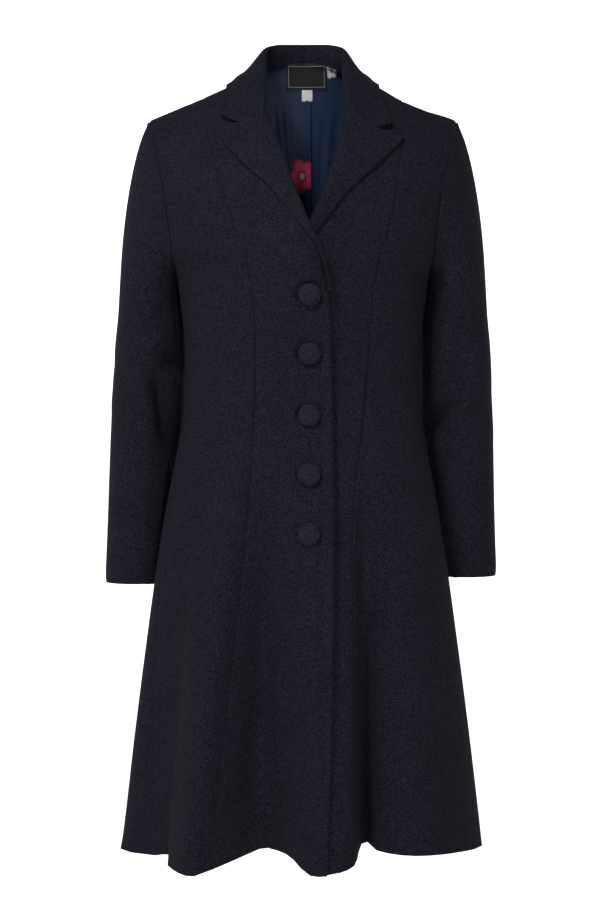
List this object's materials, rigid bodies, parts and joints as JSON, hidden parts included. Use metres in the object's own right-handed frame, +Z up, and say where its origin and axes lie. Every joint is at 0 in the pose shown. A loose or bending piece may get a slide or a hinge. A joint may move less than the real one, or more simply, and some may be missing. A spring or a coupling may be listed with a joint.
{
  "type": "coat",
  "caption": "Knee-length princess-line wool coat with a flared fluted skirt, small notched collar, long set-in sleeves and a buttoned front, filled out hollow.",
  "frame": {"origin": "in the middle of the neck opening, level with the neck points, where the wearer's neck and shoulders hold the coat", "axes": "+Z up along the coat, -Y the way the front faces, +X the wearer's left"},
  "size_m": [0.5226, 0.3282, 1.0612],
  "materials": {
    "wool": "nubby brushed wool, matt, midnight navy",
    "covered_button": "the same wool stretched over a button, matt",
    "lining": "satin, dark blue with printed flowers",
    "label": "woven, matt black, bare",
    "care_tag": "white woven tape, blank"
  },
  "bodies": {
    "root": {"right_centre_front": "wool", "right_side_front": "wool", "right_side_back": "wool", "right_centre_back": "wool", "right_top_sleeve": "wool", "right_under_sleeve": "wool", "right_lapel": "wool", "right_back_lining": "lining", "left_centre_front": "wool", "left_side_front": "wool", "left_side_back": "wool", "left_centre_back": "wool", "left_top_sleeve": "wool", "left_under_sleeve": "wool", "left_lapel": "wool", "left_back_lining": "lining", "collar": "wool", "label": "label", "care_tag": "care_tag", "button_1": "covered_button", "button_2": "covered_button", "button_3": "covered_button", "button_4": "covered_button", "button_5": "covered_button"}
  },
  "joints": []
}
